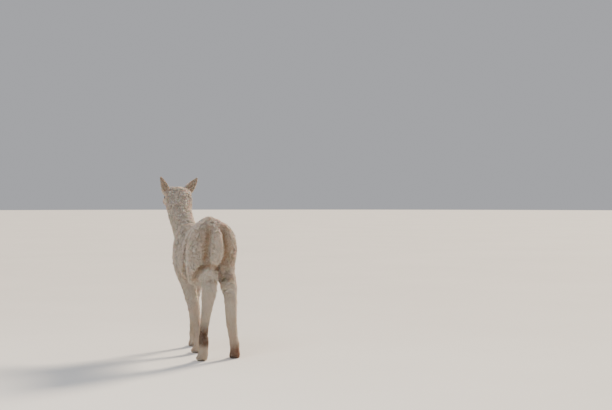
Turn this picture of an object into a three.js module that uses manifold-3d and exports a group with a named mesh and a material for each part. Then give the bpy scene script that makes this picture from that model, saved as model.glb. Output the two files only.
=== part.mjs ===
// A life-size huacaya alpaca, walking, as a still museum model. Millimetres, +Z up.
// It faces -Y and its left side is +X. Every outline is taken at the tips of the fleece.
//
// The body is one smooth field: sweeps of oval sections along centre lines, blended where they meet.
// Each named piece is that field, meshed at a size that suits it and parted from its neighbours by
// thin flat cuts. Eyes, ears and toenails are solids of their own, seated in pockets.

import * as THREE from 'three';
import { mergeVertices } from 'three/addons/utils/BufferGeometryUtils.js';
import Module from 'manifold-3d';

const wasm = await Module();
wasm.setup();

// ---------------------------------------------------------------------------------------------
// Driving sizes
// ---------------------------------------------------------------------------------------------

const CROUP_HEIGHT = 890; // over the fleece; the whole animal is scaled from this
const DRAWN_CROUP = 890; // croup height at which the stations below are written
const SCALE = CROUP_HEIGHT / DRAWN_CROUP;

const GAP = 0.6; // width of a cut between two pieces of the body
const SEAT_GAP = 0.35; // clearance round an eye, ear or toenail in its pocket
const FLOOR = 0;

// Facet sizes on each kind of piece: across, fore and aft, and up.
const CELL = {
  trunk: new THREE.Vector3(43, 57, 42),
  neck: new THREE.Vector3(34, 38, 38),
  thigh: new THREE.Vector3(32, 34, 36),
  shank: new THREE.Vector3(26, 27, 38),
  cannon: new THREE.Vector3(21, 21.5, 45),
  foot: new THREE.Vector3(20.5, 25, 23),
  head: new THREE.Vector3(16, 20, 17),
  tail: new THREE.Vector3(25, 25, 36),
};

const BODY_BLEND = 55; // how softly trunk, neck, haunches and shoulders run together
const LEG_BLEND = 26;
const TAIL_BLEND = 12;
const HEAD_BLEND = 22;
const FACE_BLEND = 10;
const TOE_BLEND = 6;
const HOCK_BLEND = 12;

// Stations along a centre line: [ahead of the hips, to its left, height, half width, half depth, taper].
// The depth of a section is measured square to the centre line, in the upright plane. The taper
// narrows a section toward its top.
const TRUNK = [
  [-70, 0, 746, 84, 98, 0.1],
  [-30, 0, 728, 122, 156, 0.14],
  [60, 0, 708, 120, 185, 0.22],
  [170, 0, 684, 118, 190, 0.26],
  [300, 0, 650, 134, 198, 0.34],
  [415, 0, 638, 132, 200, 0.34],
  [525, 0, 648, 112, 174, 0.22],
  [600, 0, 676, 88, 142, 0.1],
];
const NECK = [
  [510, 4, 662, 104, 150],
  [604, 18, 744, 82, 106],
  [700, 29, 828, 77, 87],
  [790, 28, 908, 83, 78],
  [864, 20, 976, 92, 72],
];
// A haunch or shoulder: the fleshy top of a leg, which runs into the trunk.
const HAUNCH = {
  left: [
    [0, 70, 768, 60, 92],
    [-6, 92, 694, 58, 112],
    [20, 98, 600, 52, 104],
    [60, 98, 508, 44, 70],
  ],
  right: [
    [0, -70, 768, 60, 92],
    [-6, -92, 694, 58, 112],
    [40, -98, 596, 52, 102],
    [76, -102, 508, 46, 70],
  ],
};
const SHOULDER = {
  left: [
    [505, 60, 760, 46, 74],
    [488, 76, 670, 50, 92],
    [448, 80, 576, 48, 80],
    [418, 70, 516, 45, 60],
  ],
  right: [
    [508, -60, 760, 46, 74],
    [518, -76, 670, 50, 92],
    [520, -78, 576, 48, 80],
    [532, -66, 516, 45, 60],
  ],
};
// The rest of each leg, down to the fetlock: gaskin or forearm, joint and cannon.
const HIND_LEG = {
  left: [
    [58, 90, 560, 50, 78],
    [4, 66, 530, 48, 56],
    [-60, 47, 512, 48, 46],
    [-116, 44, 488, 52, 44],
    [-146, 53, 436, 48, 43],
    [-154, 64, 372, 39, 37],
    [-158, 76, 300, 32, 33],
    [-162, 87, 225, 28.5, 31],
    [-160, 92.5, 165, 24.5, 28],
    [-154, 92.5, 120, 24, 28],
  ],
  right: [
    [74, -98, 556, 50, 78],
    [14, -98, 508, 52, 60],
    [-44, -99, 462, 52, 52],
    [-74, -99, 410, 44, 45],
    [-82, -101, 350, 40, 39],
    [-76, -106, 250, 36, 34],
    [-66, -118.5, 150, 29.5, 29],
    [-58, -131, 96, 25, 28],
  ],
};
const FORE_LEG = {
  left: [
    [432, 74, 560, 52, 66],
    [406, 62, 460, 51, 52],
    [374, 45, 360, 43, 44],
    [344, 34.5, 290, 39.5, 41],
    [312, 30.5, 220, 32.5, 33],
    [278, 28, 140, 28, 30],
    [262, 27, 96, 26, 29],
  ],
  right: [
    [544, -66, 560, 48, 66],
    [568, -42, 460, 45, 50],
    [596, -28, 360, 38, 42],
    [610, -25, 290, 37, 41],
    [618, -26, 220, 30, 33],
    [624, -29, 140, 27, 29],
    [626, -31, 96, 26, 29],
  ],
};
// The ball of wool behind and over the point of each hock.
const HOCK = {
  left: { ahead: -104, side: 43, height: 532, radius: 56 },
  right: { ahead: -62, side: -92, height: 452, radius: 51 },
};
// Feet: place of the fetlock's foot on the floor, and how far the toes turn out, in degrees.
const FOOT_PLACE = {
  hind_left: { ahead: -112, side: 88, turn: 2, raise: 26 },
  hind_right: { ahead: -42, side: -137, turn: -12, raise: 0 },
  fore_left: { ahead: 284, side: 27, turn: 4, raise: 10 },
  fore_right: { ahead: 642, side: -33, turn: -4, raise: 0 },
};
const FOOT_REACH = { half: 110, middle: 60, top: 185 }; // the box in which a foot is meshed
const TOE_SPREAD = 17; // half the distance between the two toes' middle lines
const TOE_LENGTH = 62; // from under the fetlock to the toe's tip
const TOE_HALF_WIDTH = 18;
const NAIL = {
  root: TOE_LENGTH * 0.7, // ahead of the fetlock
  length: 27,
  radius: 8.2,
  taper: 0.56, // share of the radius lost by the tip
  deep: 1.05, // height of the horn over its width
  height: 19,
  drop: 9,
  inward: 3, // turn of the tip toward the other toe
  steps: 3,
  sides: 8,
};

const TAIL = [
  [-106, 4, 806, 34, 28],
  [-142, 6, 772, 42, 32],
  [-164, 9, 712, 44, 33],
  [-166, 14, 655, 39, 31],
  [-160, 18, 612, 27, 24],
];
// The head, in a frame of its own: origin in the middle of the skull, facing -Y.
const HEAD_PLACE = { ahead: 924, side: 12, height: 1003, turn: 16, nod: -3, tip: 0 };
const SKULL = [
  [-42, 0, 4, 72, 60],
  [0, 0, 2, 85, 67],
  [44, 0, -2, 70, 60],
];
const TOPKNOT = [
  [-34, 0, 24, 62, 42],
  [10, 0, 32, 66, 44],
  [62, 0, 25, 52, 38],
];
const MUZZLE = [
  [40, 0, -12, 60, 56],
  [80, 0, -15, 47, 51],
  [114, 0, -22, 38, 43],
  [144, 0, -28, 33, 38],
  [164, 0, -30, 30, 33],
];
const JAW = [
  [10, 0, -44, 46, 30],
  [70, 0, -52, 33, 22],
  [120, 0, -54, 26, 16],
  [148, 0, -53, 22, 14],
];
const CHEEK = { ahead: 38, side: 44, height: -30, radius: 36 };
const BROW = { ahead: 74, side: 43, height: 12, radius: 16 };
const EYE = { ahead: 76, side: 48, height: -4, radius: 18, sides: 12, rings: 8 };
// The lower jaw lies below the lips and ahead of its corner: a point on each cut and the jaw's side of it.
const MOUTH = {
  lips: { at: [178, 0, -44], x: 0, y: 0, z: -1 },
  corner: { at: [88, 0, -50], x: 0, y: -0.9, z: -0.43 },
};
const HEAD_REACH = { half: 176, middle: [60, 0, 0] }; // the box in which the head is meshed

const EAR = {
  ahead: 0,
  side: 57,
  height: 22,
  length: 146,
  halfWidth: 35,
  thickness: 8,
  thinning: 0.5, // share of the thickness lost by the tip
  rimThinning: 0.45, // and by the rim
  bend: 14, // inward, at the tip
  widths: [0.74, 0.97, 1, 0.84, 0.54, 0.17],
  curls: [88, 78, 62, 48, 36, 24],
};
// Degrees; turn swings the cup outward. The right ear is held out further.
const EAR_LEAN = { out: { left: 40, right: 44 }, back: 2, turn: 10 };
const EAR_STEPS = { along: 10, across: 6 };

const FLEECE = { color: 0xe9dfce, roughness: 0.95, metalness: 0 };
const STAINED_FLEECE = { color: 0xb39572, roughness: 0.95, metalness: 0 };
const EAR_SKIN = { color: 0xd9b49c, roughness: 0.8, metalness: 0 };
const EYE_DARK = { color: 0x17100c, roughness: 0.08, metalness: 0 };
const HORN = { color: 0x4a3f37, roughness: 0.5, metalness: 0 };

// ---------------------------------------------------------------------------------------------
// The field: negative inside the animal, about the distance in mm near its surface
// ---------------------------------------------------------------------------------------------

const SAMPLES_PER_SPAN = 5;
const ACROSS = new THREE.Vector3(1, 0, 0);
const AXES = [ACROSS, new THREE.Vector3(0, 1, 0), new THREE.Vector3(0, 0, 1)];
const FAR = 1e4;
const TINY = 1e-6;
const TAPER_UNIT = 100; // keeps tapers in step with the widths they are eased with
const REACH = 90; // beyond this far from its box, a sweep's field isn't worked out

const place = ([ahead, side, height]) => new THREE.Vector3(side, -ahead, height);

// A station's half width, half depth and taper, as one vector that can be eased along the line.
function sectionSize(station) {
  const [width, depth, taper = 0] = station.slice(3);
  return new THREE.Vector3(width, depth, taper * TAPER_UNIT);
}

// A sweep through stations, as short tapered links with the axes of their oval sections.
function sweep(stations) {
  const line = new THREE.CatmullRomCurve3(stations.map(place), false, 'centripetal');
  const sizes = stations.map(sectionSize);
  const size = new THREE.CatmullRomCurve3(sizes, false, 'centripetal');
  const steps = (stations.length - 1) * SAMPLES_PER_SPAN;
  const links = [];
  const box = new THREE.Box3();
  for (let i = 0; i < steps; i += 1) {
    const from = line.getPoint(i / steps);
    const along = line.getPoint((i + 1) / steps).sub(from);
    const length = along.length();
    const tangent = along.divideScalar(length);
    const wide = ACROSS.clone().addScaledVector(tangent, -ACROSS.dot(tangent)).normalize();
    const deep = tangent.clone().cross(wide);
    const a = size.getPoint(i / steps);
    const b = size.getPoint((i + 1) / steps);
    links.push({ from, tangent, wide, deep, length, a, b });
    box.expandByPoint(from);
  }
  box.expandByPoint(line.getPoint(1));
  box.expandByScalar(REACH + Math.max(...sizes.map((s) => Math.max(s.x, s.y))));
  return { links, box };
}

const offset = new THREE.Vector3();

function linkField(link, p) {
  offset.subVectors(p, link.from);
  const run = THREE.MathUtils.clamp(offset.dot(link.tangent), 0, link.length);
  const t = run / link.length;
  const width = link.a.x + (link.b.x - link.a.x) * t;
  const depth = link.a.y + (link.b.y - link.a.y) * t;
  const taper = (link.a.z + (link.b.z - link.a.z) * t) / TAPER_UNIT;
  const v = offset.dot(link.deep) / depth;
  const breadth = width * (1 - taper * THREE.MathUtils.clamp(v, -1, 1));
  const end = Math.min(breadth, depth);
  const u = offset.dot(link.wide) / breadth;
  const w = (offset.dot(link.tangent) - run) / end;
  const reach = Math.hypot(u, v, w);
  const span = Math.hypot(u * breadth, v * depth, w * end);
  return reach > TINY ? span * (1 - 1 / reach) : -end;
}

function sweepField({ links, box }, p) {
  if (!box.containsPoint(p)) return FAR;
  let least = FAR;
  for (const link of links) least = Math.min(least, linkField(link, p));
  return least;
}

function blend(a, b, softness) {
  const h = Math.max(softness - Math.abs(a - b), 0) / softness;
  return Math.min(a, b) - (h * h * softness) / 4;
}

const blendAll = (values, softness) => values.reduce((sum, value) => blend(sum, value, softness), FAR);
const ball = ({ ahead, side, height, radius }, p, hand) =>
  Math.hypot(p.x - hand * side, p.y + ahead, p.z - height) - radius;

const HANDS = { left: 1, right: -1 };
const SIDES = Object.keys(HANDS);

// ---------------------------------------------------------------------------------------------
// The head's frame
// ---------------------------------------------------------------------------------------------

const { degToRad } = THREE.MathUtils;
const headAngles = [HEAD_PLACE.nod, HEAD_PLACE.tip, HEAD_PLACE.turn].map((angle) => degToRad(angle));
const headTurn = new THREE.Euler(...headAngles, 'ZYX');
const HEAD_MATRIX = new THREE.Matrix4()
  .makeRotationFromEuler(headTurn)
  .setPosition(HEAD_PLACE.side, -HEAD_PLACE.ahead, HEAD_PLACE.height);
const HEAD_INVERSE = HEAD_MATRIX.clone().invert();

const headSweeps = [SKULL, TOPKNOT].map(sweep);
const muzzle = sweep(MUZZLE);
const jaw = sweep(JAW);
const inHead = new THREE.Vector3();

function headField(p) {
  inHead.copy(p).applyMatrix4(HEAD_INVERSE);
  const skull = blendAll(headSweeps.map((s) => sweepField(s, inHead)), HEAD_BLEND);
  const face = blend(sweepField(muzzle, inHead), sweepField(jaw, inHead), FACE_BLEND);
  const cheeks = Math.min(ball(CHEEK, inHead, 1), ball(CHEEK, inHead, -1));
  const brows = Math.min(ball(BROW, inHead, 1), ball(BROW, inHead, -1));
  return blend(blendAll([skull, face, cheeks], HEAD_BLEND), brows, FACE_BLEND);
}

// ---------------------------------------------------------------------------------------------
// Feet: two toes under each fetlock, flat on the floor
// ---------------------------------------------------------------------------------------------

function footMatrix({ ahead, side, turn }) {
  return new THREE.Matrix4().makeRotationZ(degToRad(turn)).setPosition(side, -ahead, FLOOR);
}

// Stations of one toe, in the foot's own frame: the pastern, the pad and the tip.
function toeStations(hand, raise) {
  return [
    [-16 - raise * 0.8, 4 * hand, 96 + raise, 22, 27],
    [-12 - raise * 0.4, 8 * hand, 58 + raise * 0.6, 22, 31],
    [2, TOE_SPREAD * 0.9 * hand, 21 + raise * 0.2, TOE_HALF_WIDTH + 2, 26],
    [TOE_LENGTH * 0.5, TOE_SPREAD * hand, 15, TOE_HALF_WIDTH, 20],
    [TOE_LENGTH * 0.72, (TOE_SPREAD + 1) * hand, 12, TOE_HALF_WIDTH - 3, 16],
  ];
}

function makeFoot(at) {
  const matrix = footMatrix(at);
  const inverse = matrix.clone().invert();
  const inFoot = new THREE.Vector3();
  const toes = SIDES.map((side) => sweep(toeStations(HANDS[side], at.raise)));
  const field = (p) => {
    inFoot.copy(p).applyMatrix4(inverse);
    return blendAll(toes.map((toe) => sweepField(toe, inFoot)), TOE_BLEND);
  };
  return { matrix, field };
}

// ---------------------------------------------------------------------------------------------
// The whole body
// ---------------------------------------------------------------------------------------------

const bodySweeps = [TRUNK, NECK, ...Object.values(HAUNCH), ...Object.values(SHOULDER)].map(sweep);
const tail = sweep(TAIL);
const bodyField = (p) => blendAll(bodySweeps.map((s) => sweepField(s, p)), BODY_BLEND);

const legs = {};
for (const side of SIDES) {
  for (const [end, tables] of [['hind', HIND_LEG], ['fore', FORE_LEG]]) {
    const name = `${end}_${side}`;
    const stations = tables[side];
    legs[name] = { end, side, stations, line: sweep(stations), foot: makeFoot(FOOT_PLACE[name]) };
  }
}

function legField(leg) {
  const hock = leg.end === 'hind' ? HOCK[leg.side] : null;
  return (p) => {
    const limb = blend(sweepField(leg.line, p), leg.foot.field(p), LEG_BLEND);
    return hock ? blend(limb, ball(hock, p, 1), HOCK_BLEND) : limb;
  };
}

const withLeg = (leg) => (p) => blend(bodyField(p), legField(leg)(p), LEG_BLEND);

function trunkField(p) {
  const body = blend(bodyField(p), sweepField(tail, p), TAIL_BLEND);
  return Math.min(...Object.values(legs).map((leg) => blend(body, legField(leg)(p), LEG_BLEND)));
}

const neckField = (p) => blend(bodyField(p), headField(p), HEAD_BLEND);

// ---------------------------------------------------------------------------------------------
// Meshing and cutting
// ---------------------------------------------------------------------------------------------

const ENDLESS = 4000; // edge of the blocks that stand for half spaces
const PINCH_FILL = 0.5;
const PROBE = 0.5; // half the span over which the field's slope is taken
const LEAST_SLOPE = 0.05; // squared
const SETTLE_STEPS = 3;
const CELL_EDGE = 0.02; // share of a cell that its vertex keeps away from the sides
function indexed(points, faces) {
  const positions = points.flatMap((q) => q.toArray());
  const geometry = new THREE.BufferGeometry();
  geometry.setAttribute('position', new THREE.Float32BufferAttribute(positions, 3));
  geometry.setIndex(faces);
  return geometry;
}

const CUBE_EDGES = [];
for (let a = 0; a < 8; a += 1) {
  for (const bit of [1, 2, 4]) if (!(a & bit)) CUBE_EDGES.push([a, a | bit]);
}
const corner = (i) => [i & 1, (i >> 1) & 1, (i >> 2) & 1];

function slope(field, p) {
  const rise = AXES.map((axis) => {
    const before = field(p.clone().addScaledVector(axis, -PROBE));
    return (field(p.clone().addScaledVector(axis, PROBE)) - before) / (2 * PROBE);
  });
  return new THREE.Vector3(...rise);
}

// Moves a vertex onto the field's zero surface, without leaving its own cell.
function settle(field, p, cell) {
  for (let i = 0; i < SETTLE_STEPS; i += 1) {
    const gradient = slope(field, p);
    p.addScaledVector(gradient, -field(p) / Math.max(gradient.lengthSq(), LEAST_SLOPE));
    cell.clampPoint(p, p);
  }
  return p;
}

// Fills pinches, where a grid square has only its two opposite corners inside: they would mesh as one
// edge shared by four facets.
function fillPinches(values, steps, last) {
  for (let changed = true; changed; ) {
    changed = false;
    for (let n = 0; n < last; n += 1) {
      for (const [u, v] of [[steps[0], steps[1]], [steps[1], steps[2]], [steps[2], steps[0]]]) {
        const ring = [n, n + u, n + u + v, n + v];
        if (ring[2] >= values.length) continue;
        const inside = ring.map((q) => values[q] < 0);
        const pinched = inside[0] === inside[2] && inside[1] === inside[3] && inside[0] !== inside[1];
        if (!pinched) continue;
        const [one, other] = ring.filter((q) => values[q] >= 0);
        values[values[one] < values[other] ? one : other] = -PINCH_FILL;
        changed = true;
      }
    }
  }
}

// A closed mesh of the field's zero surface inside a box: one vertex in each cell that it crosses.
function skinOf(field, box, cell) {
  const [nx, ny, nz] = box.getSize(new THREE.Vector3()).divide(cell).toArray().map((n) => Math.ceil(n) + 1);
  const at = (i, j, k) => i + nx * (j + ny * k);
  const values = new Float64Array(nx * ny * nz);
  const p = new THREE.Vector3();
  for (let k = 0; k < nz; k += 1) {
    for (let j = 0; j < ny; j += 1) {
      for (let i = 0; i < nx; i += 1) {
        const border = i === 0 || j === 0 || k === 0 || i === nx - 1 || j === ny - 1 || k === nz - 1;
        p.set(i, j, k).multiply(cell).add(box.min);
        values[at(i, j, k)] = border ? cell.x / 2 : field(p);
      }
    }
  }
  fillPinches(values, [1, nx, nx * ny], at(nx - 2, ny - 2, nz - 2));
  const points = [];
  const owner = new Int32Array(values.length).fill(-1);
  for (let k = 0; k < nz - 1; k += 1) {
    for (let j = 0; j < ny - 1; j += 1) {
      for (let i = 0; i < nx - 1; i += 1) {
        const middle = new THREE.Vector3();
        let crossings = 0;
        for (const [a, b] of CUBE_EDGES) {
          const [ax, ay, az] = corner(a);
          const [bx, by, bz] = corner(b);
          const va = values[at(i + ax, j + ay, k + az)];
          const vb = values[at(i + bx, j + by, k + bz)];
          if (va < 0 === vb < 0) continue;
          const t = va / (va - vb);
          middle.add(new THREE.Vector3(ax + (bx - ax) * t, ay + (by - ay) * t, az + (bz - az) * t));
          crossings += 1;
        }
        if (!crossings) continue;
        const low = new THREE.Vector3(i, j, k).multiply(cell).add(box.min);
        middle.divideScalar(crossings).multiply(cell).add(low);
        const room = new THREE.Box3(low, low.clone().add(cell));
        room.expandByVector(cell.clone().multiplyScalar(-CELL_EDGE));
        const nearBorder = i === 0 || j === 0 || k === 0 || i === nx - 2 || j === ny - 2 || k === nz - 2;
        owner[at(i, j, k)] = points.length;
        points.push(nearBorder ? middle : settle(field, middle, room));
      }
    }
  }
  const faces = [];
  const diagonals = new Set(); // two facets never share a diagonal
  const diagonal = (a, b) => `${Math.min(a, b)} ${Math.max(a, b)}`;
  const quad = (a, b, c, d) => {
    const short = points[a].distanceTo(points[c]) <= points[b].distanceTo(points[d]);
    const first = diagonals.has(diagonal(b, d)) || (short && !diagonals.has(diagonal(a, c)));
    diagonals.add(first ? diagonal(a, c) : diagonal(b, d));
    faces.push(...(first ? [a, b, c, a, c, d] : [a, b, d, b, c, d]));
  };
  const around = [[1, nx, nx * ny], [nx, nx * ny, 1], [nx * ny, 1, nx]];
  for (let k = 0; k < nz - 1; k += 1) {
    for (let j = 0; j < ny - 1; j += 1) {
      for (let i = 0; i < nx - 1; i += 1) {
        const here = at(i, j, k);
        for (const [axis, u, v] of around) {
          const inside = values[here] < 0;
          if (inside === values[here + axis] < 0) continue;
          const ring = [owner[here - u - v], owner[here - v], owner[here], owner[here - u]];
          quad(...(inside ? ring : ring.reverse()));
        }
      }
    }
  }
  return indexed(points, faces);
}

// Rings of points, joined into one closed tube. Each end is filled by strips across its ring, which has
// an even count of points: the first is opposite the last, and so on.
function loft(rings) {
  const count = rings[0].length;
  const faces = [];
  for (let k = 0; k < count; k += 1) {
    const next = (k + 1) % count;
    for (let r = 0; r < rings.length - 1; r += 1) {
      const [a, b, c, d] = [r * count + k, r * count + next, (r + 1) * count + next, (r + 1) * count + k];
      faces.push(a, c, b, a, d, c);
    }
  }
  const last = (rings.length - 1) * count;
  for (let k = 0; k < count / 2 - 1; k += 1) {
    const [a, b, c, d] = [k, k + 1, count - 2 - k, count - 1 - k];
    faces.push(a, b, c, a, c, d, last + a, last + c, last + b, last + a, last + d, last + c);
  }
  return indexed(rings.flat(), faces);
}

function solid(geometry) {
  const extras = Object.keys(geometry.attributes).filter((name) => name !== 'position');
  for (const name of extras) geometry.deleteAttribute(name);
  const merged = mergeVertices(geometry);
  const vertProperties = Float32Array.from(merged.attributes.position.array);
  const triVerts = Uint32Array.from(merged.index.array);
  return new wasm.Manifold(new wasm.Mesh({ numProp: 3, vertProperties, triVerts }));
}

// A plane is a point on it and the direction of the piece that it bounds.
const plane = (at, x, y, z) => ({ at: place(at), toward: new THREE.Vector3(x, y, z).normalize() });
const flipped = ({ at, toward }) => ({ at, toward: toward.clone().negate() });

// The space on a plane's piece side, moved out from the plane by `grow`.
function halfSpace({ at, toward }, grow) {
  const geometry = new THREE.BoxGeometry(ENDLESS, ENDLESS, ENDLESS);
  geometry.applyQuaternion(new THREE.Quaternion().setFromUnitVectors(new THREE.Vector3(0, 0, 1), toward));
  const middle = at.clone().addScaledVector(toward, ENDLESS / 2 - grow);
  return solid(geometry.translate(middle.x, middle.y, middle.z));
}

const region = (planes, grow) => planes.map((p) => halfSpace(p, grow)).reduce((a, b) => a.intersect(b));
const within = (body, planes) => body.intersect(region(planes, -GAP / 2));
const without = (body, planes) => body.subtract(region(planes, GAP / 2));

function boxAround(points, margin = 0) {
  const places = points.map((q) => (q.isVector3 ? q : place(q)));
  return new THREE.Box3().setFromPoints(places).expandByScalar(margin);
}

// ---------------------------------------------------------------------------------------------
// Where the body is parted
// ---------------------------------------------------------------------------------------------

const NECK_CUT = plane([620, 18, 772], 0, -0.72, 0.69);
const HEAD_CUT = plane([858, 18, 968], 0.1, -0.86, 0.5);
const TAIL_CUTS = [
  plane([-134, 0, 700], 0, 1, 0),
  plane([-150, -40, 700], 1, 0, 0),
  plane([-150, 66, 700], -1, 0, 0),
  plane([-150, 0, 580], 0, 0, 1),
];
const ELBOW_CUTS = SIDES.map((side) => plane([480, 30 * HANDS[side], 448], 0.45 * HANDS[side], 0, -0.89));
const FLANK_CUT = plane([150, 0, 480], 0, 0.94, -0.34);
const GROIN = [0, -14, 500];
const groinCut = (hand) => plane(GROIN, 0.66 * hand, 0, -0.75);
const middleCut = (hand) => plane(GROIN, hand, 0, 0);
const hipCuts = (hand) => [groinCut(hand), middleCut(hand), FLANK_CUT];

const CUT_STEP = 0.004;

// A cut square to a leg's centre line, at a height; its piece is the part of the leg below.
function legCut({ stations }, height) {
  const line = new THREE.CatmullRomCurve3(stations.map(place), false, 'centripetal');
  let t = 0;
  while (t < 1 && line.getPoint(t).z > height) t += CUT_STEP;
  return { at: line.getPoint(t), toward: line.getTangent(t) };
}

const STIFLE_STATION = 1; // of a hind leg
const HOCK_HEIGHT = { left: 408, right: 376 };
const KNEE_HEIGHT = { left: 300, right: 300 };
const FETLOCK_HEIGHT = 100;

// ---------------------------------------------------------------------------------------------
// Eyes, ears and toenails
// ---------------------------------------------------------------------------------------------

const inHeadFrame = (geometry) => geometry.applyMatrix4(HEAD_MATRIX);

function eye(hand, grow = 0) {
  const geometry = new THREE.SphereGeometry(EYE.radius + grow, EYE.sides, EYE.rings);
  return solid(inHeadFrame(geometry.translate(hand * EYE.side, -EYE.ahead, EYE.height)));
}

const eased = (values) => {
  const curve = new THREE.CatmullRomCurve3(values.map((v, i) => new THREE.Vector3(v, i, 0)));
  return (t) => curve.getPoint(t).x;
};
const earWidth = eased(EAR.widths);
const earCurl = eased(EAR.curls);

// One ear: a spear-shaped leaf, curled about its length, thick at the root and thin at the rim.
function ear(hand, grow = 0) {
  const { along, across } = EAR_STEPS;
  const rings = [];
  for (let i = 0; i <= along; i += 1) {
    const t = i / along;
    const wide = EAR.halfWidth * earWidth(t);
    const curl = degToRad(earCurl(t));
    const radius = wide / Math.sin(Math.min(curl, Math.PI / 2));
    const half = (EAR.thickness / 2) * (1 - EAR.thinning * t);
    const ring = [];
    for (const face of [1, -1]) {
      for (let j = 0; j <= across; j += 1) {
        const s = face * ((2 * j) / across - 1);
        const rim = half * (1 - EAR.rimThinning * s * s) + grow;
        const angle = s * (curl + grow / radius);
        const reach = radius + face * rim;
        const out = reach * Math.sin(angle) - hand * EAR.bend * t * t;
        const height = EAR.length * t + (i === along ? grow : 0);
        ring.push(new THREE.Vector3(out, reach * Math.cos(angle) - radius, height));
      }
    }
    rings.push(ring);
  }
  const { back, turn } = EAR_LEAN;
  const out = hand === HANDS.left ? EAR_LEAN.out.left : EAR_LEAN.out.right;
  const angles = [-back, hand * out, hand * turn].map((angle) => degToRad(angle));
  const matrix = new THREE.Matrix4().makeRotationFromEuler(new THREE.Euler(...angles, 'YXZ'));
  matrix.setPosition(hand * EAR.side, -EAR.ahead, EAR.height);
  return solid(inHeadFrame(loft(rings).applyMatrix4(matrix)));
}

// One toenail: a curved horn that tapers forward and down from the toe's tip.
function toenail(foot, hand, grow = 0) {
  const rings = [];
  for (let i = 0; i <= NAIL.steps; i += 1) {
    const t = i / NAIL.steps;
    const radius = NAIL.radius * (1 - NAIL.taper * t * t) + grow;
    const ahead = NAIL.root + NAIL.length * t + (i === NAIL.steps ? grow : 0);
    const height = NAIL.height - NAIL.drop * t * t;
    const ring = [];
    for (let k = 0; k < NAIL.sides; k += 1) {
      const angle = (-2 * Math.PI * k) / NAIL.sides;
      const side = hand * (TOE_SPREAD + 1 - NAIL.inward * t) + radius * Math.cos(angle);
      ring.push(new THREE.Vector3(side, -ahead, height + radius * NAIL.deep * Math.sin(angle)));
    }
    rings.push(ring);
  }
  return solid(loft(rings).applyMatrix4(foot.matrix));
}

// ---------------------------------------------------------------------------------------------
// The named pieces
// ---------------------------------------------------------------------------------------------

const CANNON_MARGIN = 75; // from a leg's centre line to the sides of the box in which it is meshed
const FOREARM_MARGIN = 90;

const alpaca = new THREE.Group();
alpaca.name = 'alpaca';

function addPiece(name, body, look) {
  const { vertProperties, triVerts } = body.getMesh();
  const geometry = new THREE.BufferGeometry();
  geometry.setAttribute('position', new THREE.Float32BufferAttribute(vertProperties, 3));
  geometry.setIndex(new THREE.Uint32BufferAttribute(triVerts, 1));
  geometry.computeVertexNormals();
  const mesh = new THREE.Mesh(geometry, new THREE.MeshStandardMaterial(look));
  mesh.name = name;
  alpaca.add(mesh);
}

function addTrunk() {
  const box = boxAround([[-250, -240, 380], [720, 240, 940]]);
  const whole = solid(skinOf(trunkField, box, CELL.trunk));
  const legless = [...ELBOW_CUTS.map((cut) => [cut]), ...SIDES.map((side) => hipCuts(HANDS[side]))];
  const trunk = [[NECK_CUT], TAIL_CUTS, ...legless].reduce(without, whole);
  addPiece('trunk', trunk, FLEECE);
}

function addNeck() {
  const box = boxAround([[500, -130, 600], [970, 170, 1080]]);
  const whole = solid(skinOf(neckField, box, CELL.neck));
  addPiece('neck', within(whole, [NECK_CUT, flipped(HEAD_CUT)]), FLEECE);
}

function addTail() {
  const box = boxAround([[-70, -90, 530], [-260, 120, 890]]);
  addPiece('tail', within(solid(skinOf(trunkField, box, CELL.tail)), TAIL_CUTS), FLEECE);
}

function addHead() {
  const jawCuts = Object.values(MOUTH).map(({ at, x, y, z }) => {
    const toward = new THREE.Vector3(x, y, z).transformDirection(HEAD_MATRIX);
    return { at: place(at).applyMatrix4(HEAD_MATRIX), toward };
  });
  const middle = place(HEAD_REACH.middle).applyMatrix4(HEAD_MATRIX);
  const box = boxAround([middle], HEAD_REACH.half);
  const whole = solid(skinOf(neckField, box, CELL.head));
  let head = without(within(whole, [HEAD_CUT]), jawCuts);
  for (const side of SIDES) {
    const hand = HANDS[side];
    head = head.subtract(eye(hand, SEAT_GAP)).subtract(ear(hand, SEAT_GAP));
    addPiece(`eye_${side}`, eye(hand), EYE_DARK);
    addPiece(`ear_${side}`, ear(hand), EAR_SKIN);
  }
  addPiece('head', head, FLEECE);
  addPiece('lower_jaw', within(whole, [HEAD_CUT, ...jawCuts]), FLEECE);
}

function addFoot(name, leg, fetlock) {
  const { foot } = leg;
  const middle = new THREE.Vector3(0, 0, FOOT_REACH.middle).applyMatrix4(foot.matrix);
  const box = boxAround([middle], FOOT_REACH.half);
  box.max.z = FOOT_REACH.top;
  const floor = plane([0, 0, FLOOR], 0, 0, 1);
  let body = within(solid(skinOf(legField(leg), box, CELL.foot)), [fetlock]).intersect(halfSpace(floor, 0));
  for (const side of SIDES) {
    const edge = side === leg.side ? 'outer' : 'inner';
    body = body.subtract(toenail(foot, HANDS[side], SEAT_GAP));
    addPiece(`toenail_${name}_${edge}`, toenail(foot, HANDS[side]), HORN);
  }
  addPiece(`foot_${name}`, body, FLEECE);
}

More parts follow.
